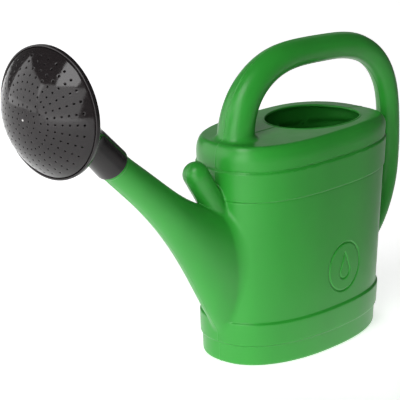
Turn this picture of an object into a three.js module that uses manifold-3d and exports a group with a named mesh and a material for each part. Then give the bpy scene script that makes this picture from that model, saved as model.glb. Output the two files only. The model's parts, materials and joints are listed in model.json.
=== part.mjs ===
// A 5-litre garden watering can.
//
// The green can is one blow-moulded shell: a tall oval tank, a spout that tapers from a deep root to a
// round tip, a hollow loop handle and a peg that the rose is stored on. It is divided here at the
// tank's wall into tank, spout, handle and rose_peg. The black rose is two mouldings: a funnel-shaped
// shell with a socket that pushes onto the spout's tip, and a domed face plate with rings of holes.
//
// Millimetres, +Z up. The origin is the centre of the tank's base, the spout points to -X, and y = 0
// is the plane of symmetry.
import * as THREE from "three";
import { mergeVertices } from "three/addons/utils/BufferGeometryUtils.js";
import Module from "manifold-3d";

const wasm = await Module();
wasm.setup();

const WALL = 1.6; // thickness of the blow-moulded wall
const GAP = 0.3; // clearance left between pieces that touch

// Tank: the plan is a superellipse that grows and squares up evenly from the base to the upper groove.
const BASE_POWER = 2.3;
const GROOVE_POWER = 2.58;
const BASE_FRONT_LENGTH = 111.5; // from the middle to the front end
const BASE_REAR_LENGTH = 114.5;
const BASE_HALF_WIDTH = 63;
const GROOVE_Z = 207.7; // top of the upper band
const GROOVE_HALF_LENGTH = 121.2;
const GROOVE_HALF_WIDTH = 63.3;
const LOWER_BAND = { from: 21.3, to: 48, proud: 2.2 };
const UPPER_BAND = { from: 176.4, to: GROOVE_Z, proud: 1.3 };
const BAND_STEP = 0.9; // height over which a band's edge runs out to the wall
const DECK_Z = 233.5; // height of the tank's top at its middle
const SHOULDER = { width: 8, height: 17 };
const REAR_DROP = 6; // how far the deck falls behind the mouth
const FOOT_RADIUS = 4;

// Filling mouth in the rear of the deck.
const MOUTH = { x: 31, halfLength: 58.5, halfWidth: 43.5 };

// Spout stations from the root to the tip: a point on the top line, a point on the underside line
// and the half width between them.
const SPOUT_STATIONS = [
  { top: [-100, 162], under: [-100, 14], halfWidth: 27 },
  { top: [-124, 168], under: [-120, 39], halfWidth: 26 },
  { top: [-140, 174], under: [-135, 64.5], halfWidth: 24.5 },
  { top: [-156, 182.5], under: [-151.5, 94.5], halfWidth: 22.5 },
  { top: [-174, 192.5], under: [-171, 122], halfWidth: 20.5 },
  { top: [-193, 206.5], under: [-192, 149], halfWidth: 18.6 },
  { top: [-213, 221.5], under: [-216, 176], halfWidth: 17 },
  { top: [-234, 238], under: [-245, 204.5], halfWidth: 16 },
];
const SPOUT_PINCH = 0.28; // how much narrower the root is below than above
const TIP = { radius: 15.3, endRadius: 14.5, length: 31 }; // the stretch inside the rose's socket

// Handle: a round tube from the front of the deck over to the rear wall.
const HANDLE_STATIONS = [
  { at: [-91, 221], radius: 20.5 },
  { at: [-89.5, 248], radius: 19 },
  { at: [-82, 270.5], radius: 17.7 },
  { at: [-66, 288.5], radius: 16.4 },
  { at: [-39, 302], radius: 15.2 },
  { at: [-4, 306.8], radius: 14.2 },
  { at: [40, 305.7], radius: 14 },
  { at: [82, 302.2], radius: 13.8 },
  { at: [115.3, 291.7], radius: 13.6 },
  { at: [142, 271], radius: 13.4 },
  { at: [157.6, 242.3], radius: 13.2 },
  { at: [163.5, 210], radius: 13.1 },
  { at: [165, 174], radius: 13.2 },
  { at: [161.7, 140], radius: 13.4 },
  { at: [149.2, 109], radius: 14 },
  { at: [129, 85.5], radius: 15 },
  { at: [102, 70], radius: 16 },
];

// Peg above the spout's root.
const PEG = { foot: [-115, 158], tip: [-150.5, 208.5], radius: 13.2 };

// Rose: the socket lies on the spout tip's axis, and the face looks forward and slightly down.
const SPOUT_AXIS_ELEVATION = 43.5; // degrees
const SOCKET_MOUTH = [-267.8, 243.9];
const SOCKET = { radius: 17.4, neckRadius: 16.4, bore: 15.7, neckBore: 14.9, length: 41 };
const ROSE_CENTRE = [-349.2, 308.7]; // centre of the rim's front edge
const ROSE_TILT = 1.4; // degrees below level
const ROSE_RADIUS = 62.3;
const ROSE_RIM_DEPTH = 5;
const ROSE_WALL = 2;
const FUNNEL_WAIST = 29; // radius of the funnel between the socket and the rim
const DOME_HEIGHT = 31;
const DOME_POWER = 2.41;
const PLATE_RADIUS = 59.9;
const HOLE_RADIUS = 0.9;
const HOLE_RINGS = [
  { radius: 7.2, count: 8 },
  { radius: 14, count: 16 },
  { radius: 20.6, count: 16 },
  { radius: 27.2, count: 32 },
  { radius: 33.4, count: 32 },
  { radius: 39.1, count: 32 },
  { radius: 44.5, count: 32 },
  { radius: 49.6, count: 32 },
  { radius: 54, count: 32 },
];

// Facets
const TANK_SIDES = 48;
const TUBE_SIDES = 20;
const HOLE_SIDES = 4;

const inPlane = ([x, z]) => new THREE.Vector3(x, 0, z);
const SIDEWAYS = new THREE.Vector3(0, 1, 0);

const elevation = THREE.MathUtils.degToRad(SPOUT_AXIS_ELEVATION);
const spoutAxis = new THREE.Vector3(-Math.cos(elevation), 0, Math.sin(elevation));
const socketMouth = inPlane(SOCKET_MOUTH);
const tilt = THREE.MathUtils.degToRad(ROSE_TILT);
const roseAxis = new THREE.Vector3(-Math.cos(tilt), 0, -Math.sin(tilt));
const roseCentre = inPlane(ROSE_CENTRE);

const along = (point, axis, distance) => point.clone().addScaledVector(axis, distance);

// ---- solids and booleans -----------------------------------------------------------------------

function solidFrom(geometry) {
  const bare = geometry.clone();
  bare.deleteAttribute("normal");
  bare.deleteAttribute("uv");
  const merged = mergeVertices(bare, 1e-3);
  const triVerts = new Uint32Array(merged.index.array);
  const vertProperties = merged.attributes.position.array;
  const made = new wasm.Manifold(new wasm.Mesh({ numProp: 3, vertProperties, triVerts }));
  if (made.volume() > 0) return made;
  for (let i = 0; i < triVerts.length; i += 3) {
    [triVerts[i], triVerts[i + 1]] = [triVerts[i + 1], triVerts[i]];
  }
  return new wasm.Manifold(new wasm.Mesh({ numProp: 3, vertProperties, triVerts }));
}

function meshFrom(name, solid, material) {
  const { vertProperties, triVerts } = solid.getMesh();
  const geometry = new THREE.BufferGeometry();
  geometry.setAttribute("position", new THREE.BufferAttribute(vertProperties, 3));
  geometry.setIndex(new THREE.BufferAttribute(triVerts, 1));
  const flat = geometry.toNonIndexed();
  flat.computeVertexNormals();
  const mesh = new THREE.Mesh(flat, material);
  mesh.name = name;
  return mesh;
}

// Moves every vertex of a geometry to place(vertex).
function reshaped(geometry, place) {
  const position = geometry.attributes.position;
  const vertex = new THREE.Vector3();
  for (let i = 0; i < position.count; i += 1) {
    const moved = place(vertex.fromBufferAttribute(position, i));
    position.setXYZ(i, moved.x, moved.y, moved.z);
  }
  return geometry;
}

// A closed tube through sections, each with a centre, an axis and two half sizes: inPlane lies in
// y = 0 and across lies along y. A pinch narrows the section towards its lower side.
function tube(sections, sides = TUBE_SIDES) {
  const cylinder = new THREE.CylinderGeometry(1, 1, 1, sides, sections.length - 1);
  return solidFrom(
    reshaped(cylinder, ({ x, y, z }) => {
      const section = sections[Math.round((y + 0.5) * (sections.length - 1))];
      const up = new THREE.Vector3().crossVectors(SIDEWAYS, section.axis).normalize();
      const narrowing = 1 + (section.pinch ?? 0) * x;
      return section.centre
        .clone()
        .addScaledVector(up, x * section.inPlane)
        .addScaledVector(SIDEWAYS, z * section.across * narrowing);
    }),
  );
}

const round = (centre, axis, radius) => ({ centre, axis, inPlane: radius, across: radius });

// ---- tank --------------------------------------------------------------------------------------

// Half length, half width and superellipse power of the tank's plan at a height.
function planAt(z, isRear) {
  const share = z / GROOVE_Z;
  const baseLength = isRear ? BASE_REAR_LENGTH : BASE_FRONT_LENGTH;
  return {
    halfLength: THREE.MathUtils.lerp(baseLength, GROOVE_HALF_LENGTH, share),
    halfWidth: THREE.MathUtils.lerp(BASE_HALF_WIDTH, GROOVE_HALF_WIDTH, share),
    power: THREE.MathUtils.lerp(BASE_POWER, GROOVE_POWER, share),
  };
}

// How far the top is lowered at a place: nothing on the flank, most at the rear edge of the deck.
function deckDrop(x, z) {
  const behind = THREE.MathUtils.clamp((x - MOUTH.x) / (GROOVE_HALF_LENGTH - MOUTH.x), 0, 1);
  const above = THREE.MathUtils.clamp((z - DECK_Z + SHOULDER.height) / SHOULDER.height, 0, 1);
  return REAR_DROP * behind ** 2 * above;
}

// A closed solid from a profile of [inset from the plan, height], bottom to top.
function tankSolid(profile) {
  const reach = 100; // any radius larger than the insets: the lathe only carries the inset and height
  const points = profile.map(([inset, z]) => new THREE.Vector2(reach - inset, z));
  const closed = [new THREE.Vector2(0, points[0].y), ...points, new THREE.Vector2(0, points.at(-1).y)];
  const lathe = new THREE.LatheGeometry(closed, TANK_SIDES);
  return solidFrom(
    reshaped(lathe, ({ x, y: height, z: depth }) => {
      const radius = Math.hypot(x, depth);
      if (radius < 1e-6) return new THREE.Vector3(0, 0, height);
      const inset = reach - radius;
      const { halfLength, halfWidth, power } = planAt(height, x > 0);
      const stretched = (value) => Math.sign(value) * Math.abs(value) ** (2 / power);
      const lengthwise = stretched(x / radius) * (halfLength - inset);
      return new THREE.Vector3(
        lengthwise,
        stretched(depth / radius) * (halfWidth - inset),
        height - deckDrop(lengthwise, height),
      );
    }),
  );
}

const band = ({ from, to, proud }) => [
  [0, from],
  [-proud, from + BAND_STEP],
  [-proud, to - BAND_STEP],
  [0, to],
];

// A quarter ellipse from the flank up to the deck.
function shoulder(inset, top, { width, height }, steps = 4) {
  return Array.from({ length: steps + 1 }, (_, i) => {
    const angle = (i / steps) * (Math.PI / 2);
    return [inset + width * (1 - Math.cos(angle)), top - height * (1 - Math.sin(angle))];
  });
}

const outerProfile = (grow = 0) =>
  [
    [FOOT_RADIUS, 0],
    [FOOT_RADIUS * 0.3, FOOT_RADIUS * 0.3],
    [0, FOOT_RADIUS],
    ...band(LOWER_BAND),
    ...band(UPPER_BAND),
    ...shoulder(0, DECK_Z, SHOULDER),
  ].map(([inset, z]) => [inset - grow, z + (z === DECK_Z ? grow : 0)]);

const innerProfile = [
  [WALL + FOOT_RADIUS, WALL],
  [WALL, WALL + FOOT_RADIUS],
  ...shoulder(WALL, DECK_Z - WALL, SHOULDER),
];

const tankOuter = tankSolid(outerProfile());
const tankClearance = tankSolid(outerProfile(GAP));

function mouthCutter() {
  const outline = new THREE.Shape();
  outline.absellipse(MOUTH.x, 0, MOUTH.halfLength, MOUTH.halfWidth, 0, 2 * Math.PI);
  const cutter = new THREE.ExtrudeGeometry(outline, { depth: 40, bevelEnabled: false, curveSegments: 20 });
  return solidFrom(cutter.translate(0, 0, DECK_Z - 20));
}

// ---- spout, handle and peg ---------------------------------------------------------------------

// The spout's outer skin moved inward by inset, from inside the tank's wall to the end of the tip.
function spoutSolid(inset = 0, beyondTip = 0) {
  const last = SPOUT_STATIONS.length - 1;
  const tapered = SPOUT_STATIONS.map(({ top, under, halfWidth }, i) => {
    const rise = inPlane(top).sub(inPlane(under));
    return {
      centre: inPlane(under).addScaledVector(rise, 0.5),
      axis: new THREE.Vector3().crossVectors(rise, SIDEWAYS).normalize(),
      inPlane: rise.length() / 2 - inset,
      across: halfWidth - inset,
      pinch: SPOUT_PINCH * (1 - i / last) ** 2,
    };
  });
  return tube([
    ...tapered,
    round(socketMouth, spoutAxis, TIP.radius - inset),
    round(along(socketMouth, spoutAxis, TIP.length + beyondTip), spoutAxis, TIP.endRadius - inset),
  ]);
}

const spoutOuter = spoutSolid();
const spoutBore = spoutSolid(WALL, 1);
const spoutClearance = spoutSolid(-GAP);

function handleSolid(inset = 0) {
  const route = new THREE.CatmullRomCurve3(HANDLE_STATIONS.map(({ at }) => inPlane(at)));
  const last = HANDLE_STATIONS.length - 1;
  return tube(
    HANDLE_STATIONS.map(({ at, radius }, i) =>
      round(inPlane(at), route.getTangent(i / last), radius - inset),
    ),
    16,
  );
}

const handleBore = handleSolid(WALL);

function pegSolid(inset = 0) {
  const radius = PEG.radius - inset;
  const foot = inPlane(PEG.foot);
  const tip = inPlane(PEG.tip);
  const axis = tip.clone().sub(foot).normalize();
  const dome = [0, 30, 60, 85].map((degrees) => {
    const angle = THREE.MathUtils.degToRad(degrees);
    return round(along(tip, axis, radius * Math.sin(angle)), axis, radius * Math.cos(angle));
  });
  return tube([round(foot, axis, radius), ...dome], 16);
}

const pegBore = pegSolid(WALL);

// ---- rose --------------------------------------------------------------------------------------

// The shell's skin: socket, funnel and rim, as round sections that turn from the spout's axis to the
// rose's axis on the way.
function roseShellSolid({ socket, neckRadius, wall, mouth, rim }) {
  const neck = along(socketMouth, spoutAxis, SOCKET.length);
  const rimBack = along(roseCentre, roseAxis, -ROSE_RIM_DEPTH);
  const waist = neck.clone().lerp(rimBack, 0.45);
  const waistAxis = spoutAxis.clone().lerp(roseAxis, 0.5).normalize();
  return tube(
    [
      round(along(socketMouth, spoutAxis, mouth), spoutAxis, socket),
      round(neck, spoutAxis, neckRadius),
      round(waist, waistAxis, FUNNEL_WAIST - wall),
      round(rimBack, roseAxis, ROSE_RADIUS - 1.2 - wall),
      round(along(rimBack, roseAxis, 1.2), roseAxis, ROSE_RADIUS - wall),
      round(along(roseCentre, roseAxis, rim), roseAxis, ROSE_RADIUS - wall),
    ],
    40,
  );
}

function roseShell() {
  const { radius, neckRadius, bore, neckBore } = SOCKET;
  const skin = roseShellSolid({ socket: radius, neckRadius, wall: 0, mouth: 0, rim: 0 });
  const hollow = { socket: bore, neckRadius: neckBore, wall: ROSE_WALL, mouth: -1, rim: 1 };
  return skin.subtract(roseShellSolid(hollow));
}

const domeAt = (radius) => DOME_HEIGHT * (1 - (radius / PLATE_RADIUS) ** DOME_POWER);

// The face plate, turned about Z with its dome up, then laid against the rim.
function roseFace() {
  const radii = [0, 20, 36, 48, 55, PLATE_RADIUS];
  const outside = radii.map((radius) => new THREE.Vector2(radius, domeAt(radius)));
  const inside = radii.slice(0, -1).map((radius) => new THREE.Vector2(radius, domeAt(radius) - ROSE_WALL));
  const profile = [
    ...outside,
    new THREE.Vector2(PLATE_RADIUS, -ROSE_RIM_DEPTH + 1),
    new THREE.Vector2(PLATE_RADIUS - ROSE_WALL, -ROSE_RIM_DEPTH + 1),
    ...inside.reverse(),
  ];
  const turned = new THREE.LatheGeometry(profile, 32).rotateX(Math.PI / 2);
  const drills = HOLE_RINGS.flatMap(({ radius, count }) =>
    Array.from({ length: count }, (_, i) => {
      const angle = (i / count) * 2 * Math.PI;
      const drill = new THREE.CylinderGeometry(HOLE_RADIUS, HOLE_RADIUS, DOME_HEIGHT + 12, HOLE_SIDES);
      drill.rotateX(Math.PI / 2);
      return solidFrom(drill.translate(radius * Math.cos(angle), radius * Math.sin(angle), DOME_HEIGHT / 2));
    }),
  );
  const drilled = drills.reduce((plate, drill) => plate.subtract(drill), solidFrom(turned));
  const turn = new THREE.Quaternion().setFromUnitVectors(new THREE.Vector3(0, 0, 1), roseAxis);
  const place = new THREE.Matrix4().compose(roseCentre, turn, new THREE.Vector3(1, 1, 1));
  return drilled.transform(place.elements);
}

// ---- assembly ----------------------------------------------------------------------------------

const green = () => new THREE.MeshStandardMaterial({ color: 0x2f9a35, roughness: 0.42, metalness: 0 });
const black = () => new THREE.MeshStandardMaterial({ color: 0x1b1819, roughness: 0.22, metalness: 0 });

const tank = tankOuter
  .subtract(tankSolid(innerProfile))
  .subtract(mouthCutter())
  .subtract(spoutBore)
  .subtract(handleBore)
  .subtract(pegBore);
const spout = spoutOuter.subtract(tankClearance).subtract(spoutBore);
const handle = handleSolid().subtract(tankClearance).subtract(handleBore);
const rosePeg = pegSolid().subtract(tankClearance).subtract(spoutClearance).subtract(pegBore);

const can = new THREE.Group();
can.add(
  meshFrom("tank", tank, green()),
  meshFrom("spout", spout, green()),
  meshFrom("handle", handle, green()),
  meshFrom("rose_peg", rosePeg, green()),
);

const rose = new THREE.Group();
rose.add(meshFrom("rose_shell", roseShell(), black()), meshFrom("rose_face", roseFace(), black()));

const wateringCan = new THREE.Group();
wateringCan.add(can, rose);

export default wateringCan;
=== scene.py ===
"""A five-litre garden watering can: one green blow-moulded shell and a black push-on rose.

Shapes are worked out in millimetres in the CAD's own frame and written in metres. The can's skin is the zero
surface of one distance field, so that tank, spout, handle and peg run into each other with moulded fillets.
"""

import json
import math

import bmesh
import bpy
import numpy as np
from mathutils import Matrix, Vector


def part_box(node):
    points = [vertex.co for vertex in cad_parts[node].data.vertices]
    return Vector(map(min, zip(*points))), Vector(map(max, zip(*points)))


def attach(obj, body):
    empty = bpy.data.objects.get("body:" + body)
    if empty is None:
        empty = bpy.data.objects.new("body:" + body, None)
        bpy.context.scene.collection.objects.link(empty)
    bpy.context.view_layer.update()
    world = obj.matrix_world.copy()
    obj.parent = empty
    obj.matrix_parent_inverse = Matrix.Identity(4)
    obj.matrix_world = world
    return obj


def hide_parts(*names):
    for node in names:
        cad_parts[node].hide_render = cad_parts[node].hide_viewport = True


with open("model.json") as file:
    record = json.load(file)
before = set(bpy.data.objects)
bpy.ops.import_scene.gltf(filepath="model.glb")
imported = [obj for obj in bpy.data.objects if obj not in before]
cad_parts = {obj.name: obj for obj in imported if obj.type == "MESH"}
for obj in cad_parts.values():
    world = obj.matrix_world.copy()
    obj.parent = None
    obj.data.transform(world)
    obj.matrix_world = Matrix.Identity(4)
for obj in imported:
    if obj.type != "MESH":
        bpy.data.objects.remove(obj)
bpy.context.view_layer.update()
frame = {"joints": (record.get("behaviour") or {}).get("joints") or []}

MM = 0.001


def highest(node):
    """Highest corner of a CAD node's box, in millimetres."""
    return np.array(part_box(node)[1]) / MM


# ---- sizes, in millimetres -----------------------------------------------------------------------

TWIST = frame["joints"][0]

WALL = 1.6
SKIN_INSET = 0.45  # room for the parting line's ridge inside the CAD's box
FLOOR_GAP = 0.02
FAR = 200.0  # stands for well inside both ends of a route

# Tank
BASE_POWER, GROOVE_POWER = 2.3, 2.58
BASE_FRONT_LENGTH, BASE_REAR_LENGTH, BASE_HALF_WIDTH = 111.5, 114.5, 63.0
GROOVE_Z, GROOVE_HALF_LENGTH, GROOVE_HALF_WIDTH = 207.7, 121.2, 63.3
LOWER_BAND = (21.3, 48.0, 2.0, 2.4)  # from, to, how proud, height of the sloping edge
UPPER_BAND = (176.4, 207.7, 1.2, 1.4)
GROOVES = ((UPPER_BAND[1] + 0.5, 0.7, 0.8), (UPPER_BAND[0], 0.25, 0.7))  # height, depth, width
DECK_Z = highest("tank")[2]
SHOULDER_WIDTH, SHOULDER_HEIGHT = 8.0, 17.0
REAR_DROP = 6.0
FOOT_RADIUS = 4.0
FOOT_RECESS, FOOT_RIM = 1.6, 11.0
MOUTH_X, MOUTH_HALF_LENGTH, MOUTH_HALF_WIDTH = 31.0, 58.5, 43.5
LIP_RADIUS, LIP_OUT, LIP_UP = 1.25, 0.6, 0.15
MARK_X, MARK_Z, MARK_RADIUS = 12.0, 87.0, 26.0
MARK_DEPTH, MARK_WIDTH = 1.2, 1.0
MARK_SIDE = -40  # the marked wall lies beyond this Y
RIDGE_HEIGHT, RIDGE_WIDTH = 0.42, 0.5

# Spout: top point, underside point and half width at each station from the root to the tip
SPOUT_STATIONS = [
    (-100, 162, -100, 14, 27),
    (-124, 168, -120, 39, 26),
    (-140, 174, -135, 64.5, 24.5),
    (-156, 182.5, -151.5, 94.5, 22.5),
    (-174, 192.5, -171, 122, 20.5),
    (-193, 206.5, -192, 149, 18.6),
    (-213, 221.5, -216, 176, 17),
    (-234, 238, -245, 204.5, 16),
]
SPOUT_PINCH = 0.28
TIP_RADIUS, TIP_END_RADIUS, TIP_LENGTH = 15.3, 14.5, 31.0
SOCKET_MOUTH = np.array(TWIST["pos_m"])[[0, 2]] / MM
SPOUT_AXIS = np.array(TWIST["axis"])[[0, 2]]
SPOUT_FILLET_LOW, SPOUT_FILLET_HIGH, SPOUT_FILLET_RISE = 3, 8, (60, 150)
BEAD_BEFORE, BEAD_HEIGHT, BEAD_WIDTH = 2.6, 0.75, 1.1

# Handle: centre and radius at each station from the front foot to the rear one
HANDLE_STATIONS = [
    (-91, 221, 20.5),
    (-89.5, 248, 19),
    (-81, 269.5, 18.1),
    (-64.5, 287, 17.2),
    (-38, 300.3, 16.3),
    (-4, 305.3, 15.1),
    (40, 304.3, 14.6),
    (82, 300.6, 14.3),
    (115, 290.5, 14.1),
    (141.5, 270.5, 13.8),
    (157.6, 242.3, 13.2),
    (163.5, 210, 13.1),
    (165, 174, 13.2),
    (161.7, 140, 13.4),
    (149.2, 109, 14),
    (129, 85.5, 15),
    (102, 70, 16),
]
HANDLE_FILLET = 6
PEG_FOOT, PEG_TIP, PEG_RADIUS, PEG_FILLET = (-115, 158), (-150.5, 208.5), 13.2, 2.5

# Rose
ROSE_CENTRE = np.array([-349.2, 308.7])
ROSE_TILT = math.radians(1.4)
ROSE_AXIS = np.array([-math.cos(ROSE_TILT), -math.sin(ROSE_TILT)])
ROSE_RADIUS = highest("rose_shell")[1] - 0.05
PLATE_RADIUS = highest("rose_face")[1]
ROSE_WALL = 2.0
SOCKET_RADIUS, SOCKET_NECK, SOCKET_BORE, SOCKET_LENGTH = 17.4, 16.4, 15.7, 41.0
SOCKET_EDGE = 16.0  # radius where the bore's chamfer meets the socket's end
FUNNEL_POWER = 1.6
RIM_DEPTH = 5.0
DOME_HEIGHT, DOME_POWER = 30.5, 2.41
HOLE_RADIUS = 0.72
HOLE_RINGS = [  # radius of each ring and the number of its holes
    (7.2, 8), (14, 16), (20.6, 16), (27.2, 32), (33.4, 32), (39.1, 32), (44.5, 32), (49.6, 32), (54, 32),
]
GATE_HEIGHT, GATE_RADIUS = 0.4, 0.9

# Net of the skins: range and step, finer where there is a line or an edge
X_RANGE, Y_REACH, Z_RANGE = (-303, 181), 68, (-2, 324)
OUTER_STEP, INNER_STEP = 2, 4
SLIVER = 0.22  # vertices closer than this are merged


# ---- curves in the plane of symmetry -------------------------------------------------------------


def natural_spline(knots, values, at):
    """Natural cubic spline through values (one row for each knot), read at the given places."""
    n = len(knots)
    step = np.diff(knots)
    matrix = np.eye(n)
    right = np.zeros_like(values)
    for i in range(1, n - 1):
        matrix[i, i - 1 : i + 2] = step[i - 1], 2 * (step[i - 1] + step[i]), step[i]
        slopes = (values[i + 1] - values[i]) / step[i] - (values[i] - values[i - 1]) / step[i - 1]
        right[i] = 6 * slopes
    bend = np.linalg.solve(matrix, right)
    k = np.clip(np.searchsorted(knots, at) - 1, 0, n - 2)
    h = step[k][:, None]
    a = (knots[k + 1] - at)[:, None] / h
    b = 1 - a
    curved = ((a**3 - a) * bend[k] + (b**3 - b) * bend[k + 1]) * h**2 / 6
    return a * values[k] + b * values[k + 1] + curved


def smoothed(knots, values, trust, at, stiffness=7e3, step=2.0):
    """Stiff curve near values (one row a knot), closer where trust is higher, read at the given places."""
    n = int(math.ceil(knots[-1] / step)) + 1
    step = knots[-1] / (n - 1)
    k = np.minimum((knots / step).astype(int), n - 2)
    share = knots / step - k
    reading = np.zeros((len(knots), n))
    reading[np.arange(len(knots)), k] = 1 - share
    reading[np.arange(len(knots)), k + 1] = share
    bend = np.diff(np.eye(n), n=2, axis=0)
    matrix = reading.T @ (trust[:, None] * reading) + stiffness / step**3 * bend.T @ bend
    curve = np.linalg.solve(matrix, reading.T @ (trust[:, None] * values))
    return natural_spline(np.linspace(0, knots[-1], n), curve, at)


class Route:
    """Sections along a curve: each has a centre, an up direction and values that change along the way."""

    SAMPLES = 3000
    COARSE = 60

    def __init__(self, centre, up, values):
        self.centre, self.up, self.values = centre, up, values
        self.axis = np.stack([-up[:, 1], up[:, 0]], axis=1)

    def read(self, table, place):
        k = np.clip(place.astype(int), 0, self.SAMPLES - 2)
        part = (place - k)[..., None]
        return table[k] * (1 - part) + table[k + 1] * part

    def ahead(self, x, z, place):
        """How far the point lies in front of the section at a place."""
        centre, axis = self.read(self.centre, place), self.read(self.axis, place)
        return (x - centre[..., 0]) * axis[..., 0] + (z - centre[..., 1]) * axis[..., 1]

    def locate(self, x, z):
        """Offset along the section's up direction, the section's values, and the distance past an end,
        which is negative between the ends."""
        x, z = np.broadcast_arrays(x, z)
        picks = np.linspace(0, self.SAMPLES - 1, self.COARSE).astype(int)
        dx = x[..., None] - self.centre[picks, 0]
        dz = z[..., None] - self.centre[picks, 1]
        ahead = dx * self.axis[picks, 0] + dz * self.axis[picks, 1]
        offset = np.abs(dx * self.up[picks, 0] + dz * self.up[picks, 1])
        crossing = (ahead[..., :-1] >= 0) & (ahead[..., 1:] < 0)
        cost = np.where(crossing, offset[..., :-1], 1e6)
        best = cost.argmin(axis=-1)
        found = np.take_along_axis(crossing, best[..., None], -1)[..., 0]
        nearest = np.hypot(dx, dz).argmin(axis=-1)
        low = np.where(found, picks[best], picks[nearest]).astype(float)
        high = np.where(found, picks[np.minimum(best + 1, self.COARSE - 1)], picks[nearest]).astype(float)
        f_low, f_high = self.ahead(x, z, low), self.ahead(x, z, high)
        place = low
        for _ in range(3):
            share = np.where(found, f_low / np.where(f_low - f_high == 0, 1, f_low - f_high), 0)
            place = low + np.clip(share, 0, 1) * (high - low)
            middle = self.ahead(x, z, place)
            before = middle >= 0
            low, f_low = np.where(before, place, low), np.where(before, middle, f_low)
            high, f_high = np.where(before, high, place), np.where(before, f_high, middle)
        centre, up = self.read(self.centre, place), self.read(self.up, place)
        offset = (x - centre[..., 0]) * up[..., 0] + (z - centre[..., 1]) * up[..., 1]
        past = np.where(found, -FAR, np.abs(self.ahead(x, z, place)))
        return offset, self.read(self.values, place), past


def unit(v):
    return v / np.linalg.norm(v, axis=-1, keepdims=True)


def spout_route():
    stations = np.array(SPOUT_STATIONS, float)
    up = np.array([SPOUT_AXIS[1], -SPOUT_AXIS[0]])
    tip = []
    for share in (0, 0.5, 1.0):
        centre = SOCKET_MOUTH + SPOUT_AXIS * TIP_LENGTH * share
        radius = TIP_RADIUS + (TIP_END_RADIUS - TIP_RADIUS) * share
        tip.append([*(centre + up * radius), *(centre - up * radius), radius])
    last = len(stations) - 1
    pinch = [SPOUT_PINCH * (1 - i / last) ** 2 for i in range(last + 1)] + [0] * len(tip)
    table = np.column_stack([np.vstack([stations, tip]), pinch])
    middle = (table[:, 0:2] + table[:, 2:4]) / 2
    knots = np.concatenate([[0], np.cumsum(np.linalg.norm(np.diff(middle, axis=0), axis=1))])
    trust = np.where(np.arange(len(table)) > last, 1000.0, 1.0)
    fine = smoothed(knots, table, trust, np.linspace(0, knots[-1], Route.SAMPLES))
    top, under = fine[:, 0:2], fine[:, 2:4]
    half_height = np.linalg.norm(top - under, axis=1) / 2
    values = np.column_stack([half_height, fine[:, 4], fine[:, 5]])
    return Route((top + under) / 2, unit(top - under), values)


def handle_route():
    table = np.array(HANDLE_STATIONS, float)
    knots = np.concatenate([[0], np.cumsum(np.linalg.norm(np.diff(table[:, :2], axis=0), axis=1))])
    fine = natural_spline(knots, table, np.linspace(0, knots[-1], Route.SAMPLES))
    along = unit(np.gradient(fine[:, :2], axis=0))
    return Route(fine[:, :2], np.stack([along[:, 1], -along[:, 0]], axis=1), fine[:, 2:])


# ---- the can's distance field --------------------------------------------------------------------

SPOUT, HANDLE = spout_route(), handle_route()


def ramp(value, start, end):
    share = np.clip((value - start) / (end - start), 0, 1)
    return share * share * (3 - 2 * share)


def band(z, low, high, proud, edge):
    return proud * ramp(z, low, low + edge) * (1 - ramp(z, high - edge, high))


def line(distance, width):
    """Height, from 1 to 0, of a fine line's section at a distance from its middle."""
    return np.exp(-((distance / width) ** 2))


def deck_drop(x, z):
    behind = np.clip((x - MOUTH_X) / (GROOVE_HALF_LENGTH - MOUTH_X), 0, 1)
    above = ramp(z, DECK_Z - SHOULDER_HEIGHT, DECK_Z)
    return REAR_DROP * behind**2 * above


def tank_field(x, y, z):
    height = z
    for _ in range(3):
        height = z + deck_drop(x, height)
    share = np.clip(height / GROOVE_Z, 0, 1.15)
    front_or_rear = np.where(x > 0, BASE_REAR_LENGTH, BASE_FRONT_LENGTH)
    length = front_or_rear + (GROOVE_HALF_LENGTH - front_or_rear) * share
    width = BASE_HALF_WIDTH + (GROOVE_HALF_WIDTH - BASE_HALF_WIDTH) * share
    power = BASE_POWER + (GROOVE_POWER - BASE_POWER) * share
    u, v = np.abs(x / length) + 1e-6, np.abs(y / width) + 1e-6
    level = (u**power + v**power) ** (1 / power)
    slope = np.hypot(u ** (power - 1) / length, v ** (power - 1) / width) * level ** (1 - power)
    side = (level - 1) / slope
    side = side - band(height, *LOWER_BAND) - band(height, *UPPER_BAND)
    for place, depth, wide in GROOVES:
        side = side + depth * line(height - place, wide)

    across, up = (side + SHOULDER_WIDTH) / SHOULDER_WIDTH, (height - DECK_Z) / SHOULDER_HEIGHT + 1
    level = np.hypot(across, up)
    slope = np.hypot(across / SHOULDER_WIDTH, up / SHOULDER_HEIGHT)
    rounded = (level - 1) * level / np.maximum(slope, 1e-6)
    field = np.where((across > 0) & (up > 0), rounded, np.maximum(side, height - DECK_Z))

    out, down = side + FOOT_RADIUS, FOOT_RADIUS - z
    foot = np.where((out > 0) & (down > 0), np.hypot(out, down) - FOOT_RADIUS, np.maximum(side, -z))
    recess = np.maximum(side + FOOT_RIM, z - FOOT_RECESS)
    return np.maximum(np.maximum(field, foot), -recess)


def past_mouth(x, z):
    """Distance along the spout's axis past the mouth of the rose's socket."""
    return (x - SOCKET_MOUTH[0]) * SPOUT_AXIS[0] + (z - SOCKET_MOUTH[1]) * SPOUT_AXIS[1]


def spout_field(x, y, z):
    offset, values, past = SPOUT.locate(x, z)
    high, wide, pinch = values[..., 0], values[..., 1], values[..., 2]
    bead = BEAD_HEIGHT * line(past_mouth(x, z) + BEAD_BEFORE, BEAD_WIDTH)
    high, wide = high + bead, (wide + bead) * (1 + pinch * np.clip(offset / high, -1.2, 1.2))
    level = np.hypot(offset / high, y / wide)
    slope = np.hypot(offset / high**2, y / wide**2)
    return np.maximum((level - 1) * level / np.maximum(slope, 1e-6), past)


def handle_field(x, y, z):
    offset, values, past = HANDLE.locate(x, z)
    return np.maximum(np.hypot(offset, y) - values[..., 0], past)


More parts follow.
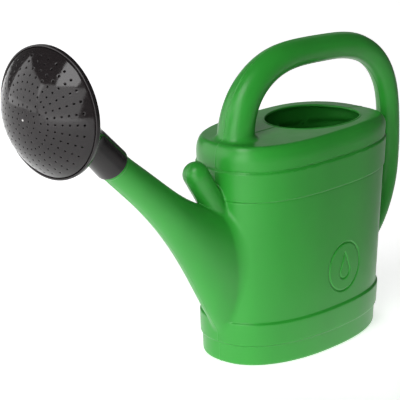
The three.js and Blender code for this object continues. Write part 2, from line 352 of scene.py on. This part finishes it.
def peg_field(x, y, z):
    foot, tip = np.array(PEG_FOOT, float), np.array(PEG_TIP, float)
    reach = tip - foot
    share = np.clip(((x - foot[0]) * reach[0] + (z - foot[1]) * reach[1]) / (reach @ reach), 0, 1)
    flat = np.hypot(x - foot[0] - reach[0] * share, z - foot[1] - reach[1] * share)
    return np.hypot(flat, y) - PEG_RADIUS


def filleted(a, b, radius):
    """Union of two fields with a fillet of the given radius between them."""
    near = np.hypot(np.maximum(radius - a, 0), np.maximum(radius - b, 0))
    return np.maximum(radius, np.minimum(a, b)) - near


def drop_outline(x, z):
    """Distance from the outline of a water drop: a circle below and a point above."""
    radius, height = 8.0, 20.0
    px, pz = np.abs(x), z + 5.0
    lean = radius / height
    straight = math.sqrt(1 - lean * lean)
    place = -lean * px + straight * pz
    inside = np.where(
        place < 0,
        np.hypot(px, pz) - radius,
        np.where(place > straight * height, np.hypot(px, pz - height), straight * px + lean * pz - radius),
    )
    return np.abs(inside)


def mark(x, y, z):
    """Depth of the moulded ring and drop on the -Y side."""
    ring = np.abs(np.hypot(x - MARK_X, z - MARK_Z) - MARK_RADIUS)
    drop = drop_outline(x - MARK_X, z - MARK_Z)
    return np.where(y < MARK_SIDE, MARK_DEPTH * np.maximum(line(ring, MARK_WIDTH), line(drop, MARK_WIDTH)), 0)


def can_field(x, y, z):
    """Distance in front of the can's outer skin, in millimetres; negative inside."""
    field = tank_field(x, y, z) + mark(x, y, z)
    growth = SPOUT_FILLET_HIGH - SPOUT_FILLET_LOW
    spout_fillet = SPOUT_FILLET_LOW + growth * ramp(z, *SPOUT_FILLET_RISE)
    field = filleted(field, spout_field(x, y, z), spout_fillet)
    field = filleted(field, handle_field(x, y, z) + SKIN_INSET, HANDLE_FILLET)
    field = filleted(field, peg_field(x, y, z), PEG_FILLET)
    field = field - RIDGE_HEIGHT * line(y, RIDGE_WIDTH)
    return np.maximum(field, FLOOR_GAP - z)


# ---- skins ---------------------------------------------------------------------------------------


def levels(low, high, step, fine=()):
    """Grid levels from low to high, closer together in each (middle, half, step) of fine."""
    made = [low]
    while made[-1] < high:
        here = made[-1]
        sizes = [size for middle, half, size in fine if abs(here - middle) <= half]
        upcoming = [m - h - here for m, h, _ in fine if here < m - h < here + step]
        made.append(here + min([step, *sizes, *[max(u, 0.2) for u in upcoming]]))
    return np.array(made)


def net(field, xs, ys, zs):
    """Surface net of field = 0 on a rectilinear grid: (vertices, quads)."""
    value = field(xs[:, None, None], ys[None, :, None], zs[None, None, :])
    inside = value < 0
    grid = (xs, ys, zs)
    cells_shape = tuple(n - 1 for n in value.shape)
    points, owners, quads = [], [], []
    for axis in range(3):
        low = [slice(None)] * 3
        high = [slice(None)] * 3
        low[axis], high[axis] = slice(None, -1), slice(1, None)
        crossing = inside[tuple(low)] != inside[tuple(high)]
        start = np.argwhere(crossing)
        end = start.copy()
        end[:, axis] += 1
        a, b = value[tuple(start.T)], value[tuple(end.T)]
        place = np.stack([grid[d][start[:, d]] for d in range(3)], axis=1).astype(float)
        step = grid[axis][end[:, axis]] - grid[axis][start[:, axis]]
        place[:, axis] += a / (a - b) * step
        one, two = [d for d in range(3) if d != axis]
        ring = []
        for shift_one, shift_two in ((0, 0), (-1, 0), (-1, -1), (0, -1)):
            cell = start.copy()
            cell[:, one] += shift_one
            cell[:, two] += shift_two
            ring.append(np.ravel_multi_index(tuple(cell.T), cells_shape, mode="clip"))
        ring = np.stack(ring, axis=1)
        points.append(np.repeat(place, 4, axis=0))
        owners.append(ring.reshape(-1))
        outward = (a < 0) == (axis != 1)
        quads.append(np.where(outward[:, None], ring, ring[:, ::-1]))
    owners = np.concatenate(owners)
    cells, index = np.unique(owners, return_inverse=True)
    points = np.concatenate(points)
    count = np.bincount(index)
    vertices = np.stack([np.bincount(index, points[:, d]) / count for d in range(3)], axis=1)
    return vertices, np.searchsorted(cells, np.concatenate(quads))


def gradient(field, v, reach=0.12):
    parts = []
    for d in range(3):
        ahead, behind = v.copy(), v.copy()
        ahead[:, d] += reach
        behind[:, d] -= reach
        parts.append((field(*ahead.T) - field(*behind.T)) / (2 * reach))
    return np.stack(parts, axis=1)


def settle(field, v, rounds=3):
    """Moves vertices onto the surface, and gives them and the surface's normals."""
    v = v.copy()
    for _ in range(rounds):
        slope = gradient(field, v)
        shift = (field(*v.T) / np.maximum((slope**2).sum(axis=1), 0.05))[:, None] * slope
        v -= np.clip(shift, -1.5, 1.5)
    return v, unit(gradient(field, v))


def mouth_level(v):
    return np.hypot((v[:, 0] - MOUTH_X) / MOUTH_HALF_LENGTH, v[:, 1] / MOUTH_HALF_WIDTH)


def past_tip(v):
    return past_mouth(v[:, 0], v[:, 2]) - TIP_LENGTH


def opened(field, vertices, quads):
    """The skin with the filling mouth and the tip's end cut out, its edge drawn onto the mouth's outline."""
    middle = vertices[quads].mean(axis=1)
    on_deck = np.abs(middle[:, 2] - DECK_Z) < 12
    in_mouth = on_deck & (mouth_level(middle) < 1)
    gone = in_mouth | (past_tip(middle) > -0.8)
    kept = quads[~gone]
    edge = np.intersect1d(quads[in_mouth], kept)
    v = vertices.copy()
    for _ in range(4):
        level = mouth_level(v[edge])[:, None]
        v[edge, :2] = [MOUTH_X, 0] + (v[edge, :2] - [MOUTH_X, 0]) / level
        slope = gradient(field, v[edge])
        v[edge, 2] -= np.clip(field(*v[edge].T) / slope[:, 2], -1, 1)
    used, flat = np.unique(kept, return_inverse=True)
    return v[used], flat.reshape(-1, 4)


def mesh_object(name, vertices, faces, normals=None):
    """An object from millimetre vertices, smooth, with its own normals where they are given."""
    mesh = bpy.data.meshes.new(name)
    mesh.from_pydata((np.asarray(vertices) * MM).tolist(), [], [list(map(int, f)) for f in faces])
    mesh.validate()
    mesh.polygons.foreach_set("use_smooth", [True] * len(mesh.polygons))
    if normals is not None:
        mesh.normals_split_custom_set_from_vertices(normals.tolist())
    made = bpy.data.objects.new(name, mesh)
    bpy.context.scene.collection.objects.link(made)
    return made


def with_fine_mark(vertices, quads):
    """The skin with the faces round the moulded mark cut finer, and slivers between close vertices closed."""
    middle = vertices[quads].mean(axis=1)
    near = np.hypot(middle[:, 0] - MARK_X, middle[:, 2] - MARK_Z) < MARK_RADIUS + 3
    near &= middle[:, 1] < MARK_SIDE
    bm = bmesh.new()
    corners = [bm.verts.new(v) for v in vertices]
    faces = [bm.faces.new([corners[i] for i in q]) for q in quads]
    edges = list({edge for face, take in zip(faces, near) if take for edge in face.edges})
    bmesh.ops.subdivide_edges(bm, edges=edges, cuts=3, use_grid_fill=True)
    bmesh.ops.remove_doubles(bm, verts=bm.verts, dist=SLIVER)
    bmesh.ops.dissolve_degenerate(bm, edges=bm.edges, dist=SLIVER / 4)
    bm.verts.index_update()
    fine = np.array([v.co for v in bm.verts])
    made = [[v.index for v in face.verts] for face in bm.faces]
    bm.free()
    return fine, made


def lip(sides=12, steps=240):
    """The rounded edge of the filling mouth: vertices, faces and normals."""
    turn = np.linspace(0, 2 * np.pi, steps, endpoint=False)
    out = unit(np.stack([np.cos(turn) / MOUTH_HALF_LENGTH, np.sin(turn) / MOUTH_HALF_WIDTH], axis=1))
    x = MOUTH_X + MOUTH_HALF_LENGTH * np.cos(turn) + out[:, 0] * LIP_OUT
    y = MOUTH_HALF_WIDTH * np.sin(turn) + out[:, 1] * LIP_OUT
    z = np.full(steps, DECK_Z)
    for _ in range(5):
        z = z - can_field(x, y, z)
    round_it = np.linspace(0, 2 * np.pi, sides, endpoint=False)
    normal = np.stack(
        [
            np.outer(out[:, 0], np.cos(round_it)),
            np.outer(out[:, 1], np.cos(round_it)),
            np.tile(np.sin(round_it), (steps, 1)),
        ],
        axis=2,
    )
    centre = np.stack([x, y, z - WALL / 2 + LIP_UP], axis=1)
    vertices = centre[:, None] + LIP_RADIUS * normal
    return vertices.reshape(-1, 3), grid_faces(steps, sides, True, True), normal.reshape(-1, 3)


def grid_faces(rows, columns, closed_rows, closed_columns):
    """Quads of a grid of vertices numbered row by row."""
    faces = []
    for i in range(rows if closed_rows else rows - 1):
        for j in range(columns if closed_columns else columns - 1):
            a, b = i * columns, (i + 1) % rows * columns
            k = (j + 1) % columns
            faces.append((a + j, b + j, b + k, a + k))
    return faces


def joined(*parts):
    """One mesh from several (vertices, faces, normals)."""
    vertices, faces, normals, count = [], [], [], 0
    for v, f, n in parts:
        vertices.append(v)
        normals.append(n)
        faces.extend([i + count for i in face] for face in f)
        count += len(v)
    return np.concatenate(vertices), faces, np.concatenate(normals)


Y_LEVELS = levels(0.15, Y_REACH, OUTER_STEP, [(0, 1.0, 0.35), (1.8, 0.8, 0.6), (3.6, 1.2, 1.2)])
Y_LEVELS = np.concatenate([-Y_LEVELS[::-1], Y_LEVELS])
X_FINE = [(-265, 6, 0.8)]
Z_FINE = [(z, 1.8, 0.45) for z in (*LOWER_BAND[:2], *UPPER_BAND[:2])] + [(1.5, 4, 0.8), (DECK_Z - 3, 5, 1.0)]


def outer_skin():
    x_levels = levels(*X_RANGE, OUTER_STEP, X_FINE)
    vertices, quads = net(can_field, x_levels, Y_LEVELS, levels(*Z_RANGE, OUTER_STEP, Z_FINE))
    vertices, _ = settle(can_field, vertices)
    vertices, quads = opened(can_field, vertices, quads)
    vertices, faces = with_fine_mark(vertices, quads)
    middle = np.hypot(vertices[:, 0] - MARK_X, vertices[:, 2] - MARK_Z)
    marked = (middle < MARK_RADIUS + 4) & (vertices[:, 1] < MARK_SIDE)
    vertices[marked], _ = settle(can_field, vertices[marked])
    return vertices, faces, unit(gradient(can_field, vertices))


def inner_skin():
    def field(x, y, z):
        return can_field(x, y, z) + WALL

    ranges = (X_RANGE, (-Y_REACH, Y_REACH), Z_RANGE)
    vertices, quads = net(field, *(levels(*reach, INNER_STEP) for reach in ranges))
    vertices, _ = settle(field, vertices)
    vertices, quads = opened(field, vertices, quads)
    return vertices, quads[:, ::-1], -unit(gradient(field, vertices))


# ---- rose ----------------------------------------------------------------------------------------


def in_space(flat):
    """Points (x, z) of the plane of symmetry as 3-D points."""
    flat = np.asarray(flat, float)
    return np.stack([flat[..., 0], np.zeros(flat.shape[:-1]), flat[..., 1]], axis=-1)


def ring_points(centre, axis, radius, sides):
    """A circle round an axis in the plane of symmetry."""
    turn = np.linspace(0, 2 * np.pi, sides, endpoint=False)
    up = in_space([-axis[1], axis[0]])
    return in_space(centre) + radius * (np.outer(np.cos(turn), up) + np.outer(np.sin(turn), [0, 1, 0]))


def funnel(wall, steps=26):
    """Sections (centre, axis, radius) of the rose's skin from the neck to the back of the rim."""
    neck = SOCKET_MOUTH + SPOUT_AXIS * SOCKET_LENGTH
    rim = ROSE_CENTRE - ROSE_AXIS * RIM_DEPTH
    sections = []
    for share in np.linspace(0, 1, steps):
        axis = unit(SPOUT_AXIS * (1 - share) + ROSE_AXIS * share)
        radius = SOCKET_NECK + (ROSE_RADIUS - 1.0 - SOCKET_NECK) * share**FUNNEL_POWER - wall
        sections.append((neck + (rim - neck) * share, axis, radius))
    return sections


def socket_section(distance, radius):
    return (SOCKET_MOUTH + SPOUT_AXIS * distance, SPOUT_AXIS, radius)


def rim_section(distance, radius):
    return (ROSE_CENTRE + ROSE_AXIS * distance, ROSE_AXIS, radius)


def rounded_edge(start, corner, end, steps=4):
    """Places round a corner between two straight runs of a section, from its start to its end."""
    start, corner, end = (np.array(p, float) for p in (start, corner, end))
    made = []
    for share in np.linspace(0, 1, steps + 2)[1:-1]:
        made.append(tuple((1 - share) ** 2 * start + 2 * share * (1 - share) * corner + share**2 * end))
    return [tuple(start), *made, tuple(end)]


def rose_shell(sides=160):
    """The socket, funnel and rim as one closed skin."""
    r = ROSE_RADIUS
    mouth = rounded_edge((0, SOCKET_EDGE), (0, SOCKET_RADIUS), (1.4, SOCKET_RADIUS))
    taper = (SOCKET_RADIUS - SOCKET_NECK) / SOCKET_LENGTH
    outside = [(d, SOCKET_RADIUS - taper * d) for d in (4, 12, 20, 28, 34, 38)]
    bore = [(38, 14.9), (20, 15.4), (1.0, SOCKET_BORE), (0, SOCKET_EDGE)]
    back = rounded_edge((-RIM_DEPTH + 0.2, r - 0.7), (-RIM_DEPTH + 0.4, r), (-RIM_DEPTH + 1.4, r))
    front = rounded_edge((-0.9, r), (0, r), (0, r - 0.9))
    step = rounded_edge((0, r - 1.0), (0, r - 1.9), (-0.7, r - 1.9))
    sections = [socket_section(d, radius) for d, radius in mouth + outside]
    sections += funnel(0)
    sections += [rim_section(d, radius) for d, radius in back + front + step]
    sections += [rim_section(-RIM_DEPTH, r - ROSE_WALL)]
    sections += funnel(ROSE_WALL)[::-1][1:]
    sections += [socket_section(d, radius) for d, radius in bore]
    vertices = np.concatenate([ring_points(*section, sides) for section in sections])
    return mesh_object("rose_shell_skin", vertices, grid_faces(len(sections), sides, False, True))


def dome_height(radius):
    return DOME_HEIGHT * (1 - (np.minimum(radius, PLATE_RADIUS) / PLATE_RADIUS) ** DOME_POWER)


def drilled_cell(turn_0, turn_1, r_0, r_1, hole_at, arc_steps, side_steps=4):
    """Rows of points from a hole's edge out to the border of its cell of the face."""
    arc = np.linspace(turn_0, turn_1, arc_steps + 1)[:-1]
    side = np.linspace(r_0, r_1, side_steps + 1)[:-1]
    arc_back, side_back = arc[::-1] + (arc[1] - arc[0]), side[::-1] + (side[1] - side[0])
    turns = np.concatenate([arc, np.full(side_steps, turn_1), arc_back, np.full(side_steps, turn_0)])
    radii = np.concatenate([np.full(arc_steps, r_0), side, np.full(arc_steps, r_1), side_back])
    border = np.stack([radii * np.cos(turns), radii * np.sin(turns)], axis=1)
    middle = hole_at * np.array([math.cos((turn_0 + turn_1) / 2), math.sin((turn_0 + turn_1) / 2)])
    away = unit(border - middle)
    edge = middle + HOLE_RADIUS * away
    ease = middle + (HOLE_RADIUS + 0.22) * away
    return [edge, ease] + [ease + (border - ease) * share for share in (0.22, 0.5, 0.78)] + [border]


def rose_face():
    """The domed plate with its rings of round holes, a moulding gate at the middle and a stepped edge."""
    radii = [r for r, _ in HOLE_RINGS]
    bounds = [radii[0] / 2, *[(a + b) / 2 for a, b in zip(radii, radii[1:])], 56.4]
    steps = 128
    flat, faces, lowered, count = [], [], [], 0
    for (radius, holes), r_0, r_1 in zip(HOLE_RINGS, bounds, bounds[1:]):
        for i in range(holes):
            turn_0, turn_1 = (i - 0.5) / holes * 2 * np.pi, (i + 0.5) / holes * 2 * np.pi
            rows = drilled_cell(turn_0, turn_1, r_0, r_1, radius, steps // holes)
            around = len(rows[0])
            flat += rows
            lowered += [np.full(around, 0.2)] + [np.zeros(around)] * (len(rows) - 1)
            faces += [[k + count for k in f] for f in grid_faces(len(rows), around, False, True)]
            count += around * len(rows)
    turn = np.arange(steps) / steps * 2 * np.pi - np.pi / HOLE_RINGS[0][1]
    circle = np.stack([np.cos(turn), np.sin(turn)], axis=1)
    middle = [r * circle for r in (bounds[0], 2.4, 1.5, 1.1, 0.8, 0.5, 0.2)]
    border = (bounds[-1], 57.4, 58.3, 59.0, 59.4, PLATE_RADIUS - 0.1, PLATE_RADIUS, PLATE_RADIUS)
    margin = [r * circle for r in border]
    flat += middle + margin
    lowered += [np.zeros(steps)] * (len(middle) + 5) + [np.full(steps, low) for low in (0.35, 1.0, 4.0)]
    faces += [[k + count for k in f[::-1]] for f in grid_faces(len(middle), steps, False, True)]
    faces.append(list(range(count + (len(middle) - 1) * steps, count + len(middle) * steps)))
    count += steps * len(middle)
    faces += [[k + count for k in f] for f in grid_faces(len(margin), steps, False, True)]
    xy, low = np.concatenate(flat), np.concatenate(lowered)
    reach = np.hypot(*xy.T)
    height = dome_height(reach) - low + GATE_HEIGHT * np.exp(-((reach / GATE_RADIUS) ** 4))
    directions = np.stack([in_space([ROSE_AXIS[1], -ROSE_AXIS[0]]), [0, 1, 0], in_space(ROSE_AXIS)])
    place = in_space(ROSE_CENTRE) + np.column_stack([xy, height]) @ directions
    made = mesh_object("rose_face_plate", place, faces)
    thick = made.modifiers.new("thickness", "SOLIDIFY")
    thick.thickness = ROSE_WALL * MM
    thick.offset = -1
    return made


def welded(made, distance=0.01):
    """Merges the vertices that neighbouring cells share."""
    bm = bmesh.new()
    bm.from_mesh(made.data)
    bmesh.ops.remove_doubles(bm, verts=bm.verts, dist=distance * MM)
    bmesh.ops.recalc_face_normals(bm, faces=bm.faces)
    bm.to_mesh(made.data)
    bm.free()
    return made


# ---- materials -----------------------------------------------------------------------------------


class Nodes:
    """Short calls for building a material's node tree."""

    def __init__(self, name):
        self.material = bpy.data.materials.new(name)
        self.material.use_nodes = True
        self.tree = self.material.node_tree
        self.shader = self.tree.nodes["Principled BSDF"]
        self.place = self.add("ShaderNodeTexCoord").outputs["Object"]

    def add(self, kind, **settings):
        node = self.tree.nodes.new(kind)
        for key, value in settings.items():
            setattr(node, key, value)
        return node

    def link(self, source, target):
        self.tree.links.new(source, target)

    def noise(self, scale, detail=3.0, stretch=(1, 1, 1)):
        mapping = self.add("ShaderNodeMapping")
        mapping.inputs["Scale"].default_value = stretch
        self.link(self.place, mapping.inputs["Vector"])
        texture = self.add("ShaderNodeTexNoise")
        texture.inputs["Scale"].default_value = scale
        texture.inputs["Detail"].default_value = detail
        self.link(mapping.outputs["Vector"], texture.inputs["Vector"])
        return texture.outputs["Fac"]

    def spread(self, value, low, high, start=0.3, end=0.7):
        """A value between start and end as one between low and high."""
        node = self.add("ShaderNodeMapRange")
        for key, number in (("From Min", start), ("From Max", end), ("To Min", low), ("To Max", high)):
            node.inputs[key].default_value = number
        self.link(value, node.inputs["Value"])
        return node.outputs["Result"]

    def blend(self, factor, one, two):
        node = self.add("ShaderNodeMix", data_type="RGBA")
        node.inputs["A"].default_value = (*one, 1)
        node.inputs["B"].default_value = (*two, 1)
        self.link(factor, node.inputs["Factor"])
        return node.outputs["Result"]

    def math(self, operation, one, two):
        node = self.add("ShaderNodeMath", operation=operation)
        self.link(one, node.inputs[0])
        self.link(two, node.inputs[1])
        return node.outputs["Value"]

    def tinted(self, colour, factor, tint):
        """A colour with a tint laid over it where the factor is high."""
        mixed = self.blend(factor, tint, tint)
        self.link(colour, mixed.node.inputs["A"])
        return mixed

    def vector_math(self, operation, vector):
        """The place on the object, in metres, taken with a fixed vector."""
        node = self.add("ShaderNodeVectorMath", operation=operation)
        node.inputs[1].default_value = vector
        self.link(self.place, node.inputs[0])
        return node.outputs["Value"]

    def bump(self, heights):
        """Bumps from (height, distance in millimetres, strength), one on another."""
        normal = None
        for height, distance, strength in heights:
            node = self.add("ShaderNodeBump")
            node.inputs["Distance"].default_value = distance * MM
            node.inputs["Strength"].default_value = strength
            self.link(height, node.inputs["Height"])
            if normal is not None:
                self.link(normal, node.inputs["Normal"])
            normal = node.outputs["Normal"]
        self.link(normal, self.shader.inputs["Normal"])


def green_plastic():
    """Satin polyethylene: a faint flow of darker and lighter colour, moulding grain and handling marks."""
    n = Nodes("green_polyethylene")
    flow = n.noise(9, 3, (1, 1, 0.35))
    colour = n.blend(n.spread(flow, 0, 1), (0.022, 0.275, 0.026), (0.030, 0.335, 0.034))
    n.link(colour, n.shader.inputs["Base Color"])
    wear = n.noise(60, 6)
    n.link(n.spread(wear, 0.29, 0.36), n.shader.inputs["Roughness"])
    grain = n.noise(1500, 2)
    waves = n.noise(38, 2, (1, 1, 0.5))
    n.bump([(waves, 0.30, 0.10), (grain, 0.05, 0.18)])
    n.shader.inputs["IOR"].default_value = 1.52
    return n.material


GATE = MM * (in_space(ROSE_CENTRE) + dome_height(0) * in_space(ROSE_AXIS))  # in metres


def black_plastic():
    """Glossy polypropylene: near black, with faint moulding waves, fine rubbing marks, and a pale spot at the
    gate that is partly the gate's whitening and partly a painted highlight.
    """
    n = Nodes("black_polypropylene")
    cloud = n.noise(30, 4)
    colour = n.blend(n.spread(cloud, 0, 1), (0.0105, 0.0085, 0.0090), (0.0145, 0.0120, 0.0125))
    # Painted highlight: the gate nub is painted pale, partly its stress whitening and partly the highlight it
    # catches.
    gate_whitening_and_highlight = n.spread(n.vector_math("DISTANCE", GATE), 1, 0, 0.0006, 0.0013)
    n.link(n.tinted(colour, gate_whitening_and_highlight, (0.55, 0.53, 0.52)), n.shader.inputs["Base Color"])
    rub = n.noise(240, 5)
    n.link(n.spread(rub, 0.07, 0.13), n.shader.inputs["Roughness"])
    waves = n.noise(45, 2)
    grain = n.noise(2200, 2)
    n.bump([(waves, 0.12, 0.08), (grain, 0.02, 0.15)])
    n.shader.inputs["IOR"].default_value = 1.5
    return n.material


# ---- the object ----------------------------------------------------------------------------------

can = mesh_object("can_shell", *joined(outer_skin(), inner_skin(), lip()))
can.data.materials.append(green_plastic())
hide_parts("tank", "spout", "handle", "rose_peg")
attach(can, "can")

black = black_plastic()
for piece, node in ((welded(rose_shell()), "rose_shell"), (welded(rose_face()), "rose_face")):
    piece.data.materials.append(black)
    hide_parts(node)
    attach(piece, "rose")


# ---- floor, light and camera, in metres ----------------------------------------------------------

TO_THE_RIGHT, TO_THE_BACK = (0.59, -0.82, 0), (0.743, 0.669, 0)  # on the floor, as the photo shows it
LIT_POINT = Vector((-0.08, 0, 0.17))
CAMERA_TARGET, CAMERA_DISTANCE = Vector((-0.1455, 0, 0.1820)), 1.942


def painted_floor_light(n):
    """Painted light: the paper floor glows like a lamp. It glows evenly behind the can, dimmer in front of
    it, and dim to its right as painted shade.
    """
    across = n.vector_math("DOT_PRODUCT", TO_THE_RIGHT)
    behind = n.vector_math("DOT_PRODUCT", TO_THE_BACK)
    painted_shade_right = n.spread(across, 1, 0.05, 0.11, 0.28)
    backward = n.spread(behind, 0.35, 0.68, -0.40, -0.05)
    return n.math("MULTIPLY", painted_shade_right, backward)


def floor():
    mesh = bpy.data.meshes.new("floor")
    size = 40.0
    corners = [(-size, -size, 0), (size, -size, 0), (size, size, 0), (-size, size, 0)]
    mesh.from_pydata(corners, [], [(0, 1, 2, 3)])
    made = bpy.data.objects.new("floor", mesh)
    bpy.context.scene.collection.objects.link(made)
    n = Nodes("pale_floor")
    n.link(n.blend(n.noise(2, 2), (0.86, 0.86, 0.86), (0.90, 0.90, 0.90)), n.shader.inputs["Base Color"])
    n.shader.inputs["Roughness"].default_value = 0.9
    # Painted light: the floor glows, brighter behind and to the left of the can, with painted shade to its
    # right.
    n.shader.inputs["Emission Color"].default_value = (1, 1, 1, 1)
    n.link(painted_floor_light(n), n.shader.inputs["Emission Strength"])
    mesh.materials.append(n.material)


def toward(azimuth, elevation):
    """Unit vector from the can toward an azimuth and an elevation in radians."""
    level = math.cos(elevation)
    return Vector((math.sin(azimuth) * level, -math.cos(azimuth) * level, math.sin(elevation)))


def area_light(name, direction, distance, size, power, diffuse=True, glossy=True):
    """A softbox that looks at the can from an azimuth and elevation in degrees."""
    back = toward(*(math.radians(a) for a in direction))
    data = bpy.data.lights.new(name, "AREA")
    data.shape = "RECTANGLE"
    data.size, data.size_y = size
    data.energy = power
    light = bpy.data.objects.new(name, data)
    light.location = LIT_POINT + back * distance
    light.rotation_mode = "QUATERNION"
    light.rotation_quaternion = back.to_track_quat("Z", "Y")
    light.visible_diffuse, light.visible_glossy = diffuse, glossy
    bpy.context.scene.collection.objects.link(light)


def camera():
    azimuth, elevation, roll = math.radians(-48.14), math.radians(17.16), math.radians(0.35)
    back = toward(azimuth, elevation)
    right = Vector((math.cos(azimuth), math.sin(azimuth), 0))
    up = back.cross(right)
    data = bpy.data.cameras.new("camera")
    data.sensor_width = 36
    data.lens = 176.92
    data.shift_x, data.shift_y = 0.0026, -0.0016
    turned_right = right * math.cos(roll) + up * math.sin(roll)
    turned_up = up * math.cos(roll) - right * math.sin(roll)
    made = bpy.data.objects.new("camera", data)
    turned = Matrix((turned_right, turned_up, back)).transposed().to_4x4()
    made.matrix_world = Matrix.Translation(CAMERA_TARGET + back * CAMERA_DISTANCE) @ turned
    bpy.context.scene.collection.objects.link(made)
    bpy.context.scene.camera = made


def studio(horizon=0.10, zenith=0.05):
    """Dim room light that fades from the horizon to a dark ceiling."""
    world = bpy.data.worlds.new("studio")
    world.use_nodes = True
    tree = world.node_tree
    direction = tree.nodes.new("ShaderNodeTexCoord")
    split = tree.nodes.new("ShaderNodeSeparateXYZ")
    fade = tree.nodes.new("ShaderNodeMapRange")
    for key, number in (("From Min", 0.1), ("From Max", 0.7), ("To Min", horizon), ("To Max", zenith)):
        fade.inputs[key].default_value = number
    tree.links.new(direction.outputs["Generated"], split.inputs["Vector"])
    tree.links.new(split.outputs["Z"], fade.inputs["Value"])
    background = tree.nodes["Background"]
    background.inputs["Color"].default_value = (1, 1, 1, 1)
    tree.links.new(fade.outputs["Result"], background.inputs["Strength"])
    bpy.context.scene.world = world


floor()
camera()
studio()
area_light("key", (-72, 12), 2.6, (2.4, 1.4), 62, glossy=False)
area_light("reflector_left", (-138, 14), 2.6, (2.9, 2.2), 32, diffuse=False)
area_light("reflector_front", (-79, 14), 2.6, (2.9, 2.2), 32, diffuse=False)
area_light("window", (-72, 52), 2.4, (1.0, 1.3), 18)
area_light("rear_left", (165, 35), 2.6, (1.6, 1.6), 16, glossy=False)
area_light("rear", (138, 17), 3.0, (2.6, 1.0), 3)
bpy.context.scene.view_settings.view_transform = "Standard"
